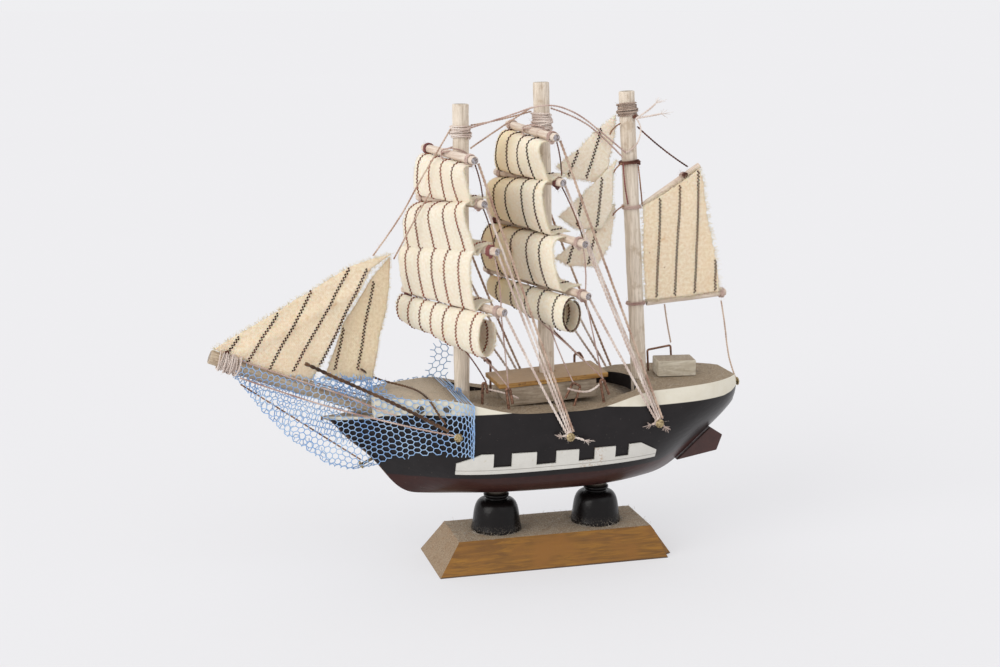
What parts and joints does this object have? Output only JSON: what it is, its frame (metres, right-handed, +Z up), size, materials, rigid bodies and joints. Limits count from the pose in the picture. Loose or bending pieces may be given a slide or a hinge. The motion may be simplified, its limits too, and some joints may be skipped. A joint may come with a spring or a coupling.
{
  "type": "model sailing ship",
  "caption": "Souvenir wooden model of a square-rigged sailing ship with cloth sails, thread rigging and bow netting, on a wooden display stand.",
  "frame": {"origin": "centre of the stand's underside, on the plane it rests on", "axes": "+X towards the bow and the bowsprit, +Y to the port side, +Z up the masts"},
  "size_m": [0.1995, 0.0581, 0.1757],
  "materials": {
    "stained_pine": "ochre stain, worn and dusty",
    "black_satin_wood": "near-black satin paint",
    "maroon_paint_wood": "dark maroon satin paint",
    "cream_paint_wood": "cream paint, slightly yellowed",
    "pale_wood": "pale bare wood, dusty",
    "bare_wood": "bare round sticks",
    "whitewashed_wood": "thin whitewash over wood",
    "brass_nail": "tarnished brass",
    "copper_wire": "copper-coloured wire",
    "sailcloth": "aged cream cotton with dark brown zigzag stitching",
    "pale_thread": "off-white sewing thread",
    "pink_thread": "dull pink sewing thread",
    "dark_twine": "dark brown twine",
    "blue_net": "light blue hexagonal netting"
  },
  "bodies": {
    "ship": {"base_block": "stained_pine", "bobstay": "pink_thread", "bow_net": "blue_net", "bowsprit": "bare_wood", "bowsprit_shrouds": "pink_thread", "deck_box": "pale_wood", "deck_staples": "copper_wire", "deckhouse_block": "pale_wood", "deckhouse_roof": "stained_pine", "fore_braces": "pale_thread", "fore_mast": "whitewashed_wood", "forestays": "pink_thread", "gunport_strip_port": "cream_paint_wood", "gunport_strip_starboard": "cream_paint_wood", "hull": "black_satin_wood", "inner_jib": "sailcloth", "jib_sheets": "dark_twine", "main_braces": "pale_thread", "main_mast": "whitewashed_wood", "mast_stays": "pink_thread", "mast_windings": "pink_thread", "mizzen_mast": "whitewashed_wood", "outer_jib": "sailcloth", "pedestal_aft": "black_satin_wood", "pedestal_fore": "black_satin_wood", "post_aft": "bare_wood", "post_fore": "bare_wood", "rudder": "maroon_paint_wood", "side_nails": "brass_nail", "spanker_lines": "dark_twine", "staysail_lower": "sailcloth", "staysail_middle": "sailcloth", "staysail_upper": "sailcloth", "stem_nail": "brass_nail", "stern_nail": "brass_nail", "wire_frame": "copper_wire"},
    "fore_yards": {"fore_yard_1": "bare_wood", "fore_yard_2": "bare_wood", "fore_yard_3": "bare_wood", "fore_yard_4": "bare_wood", "fore_sail_1": "sailcloth", "fore_sail_2": "sailcloth", "fore_sail_3": "sailcloth", "fore_sail_4": "sailcloth", "fore_yard_lashings": "pink_thread"},
    "main_yards": {"main_yard_1": "bare_wood", "main_yard_2": "bare_wood", "main_yard_3": "bare_wood", "main_yard_4": "bare_wood", "main_sail_1": "sailcloth", "main_sail_2": "sailcloth", "main_sail_3": "sailcloth", "main_sail_4": "sailcloth", "main_yard_lashings": "pink_thread"},
    "spanker": {"gaff": "bare_wood", "boom": "bare_wood", "spanker_sail": "sailcloth", "spar_loops": "pink_thread"}
  },
  "joints": [
    {"name": "fore_yards_brace", "type": "hinge", "parent": "ship", "child": "fore_yards", "pos_m": [0.0326, 0, 0.0608], "axis": [0, 0, 1], "range_deg": [-6, 6], "deforming": ["fore_braces"]},
    {"name": "main_yards_brace", "type": "hinge", "parent": "ship", "child": "main_yards", "pos_m": [0.0002, 0, 0.0608], "axis": [0.0261, 0, 0.9997], "range_deg": [-6, 6], "deforming": ["main_braces"]},
    {"name": "spanker_swing", "type": "hinge", "parent": "ship", "child": "spanker", "pos_m": [-0.0355, 0, 0.0659], "axis": [0.063, 0, 0.998], "range_deg": [-12, 12], "deforming": ["spanker_lines"]}
  ]
}
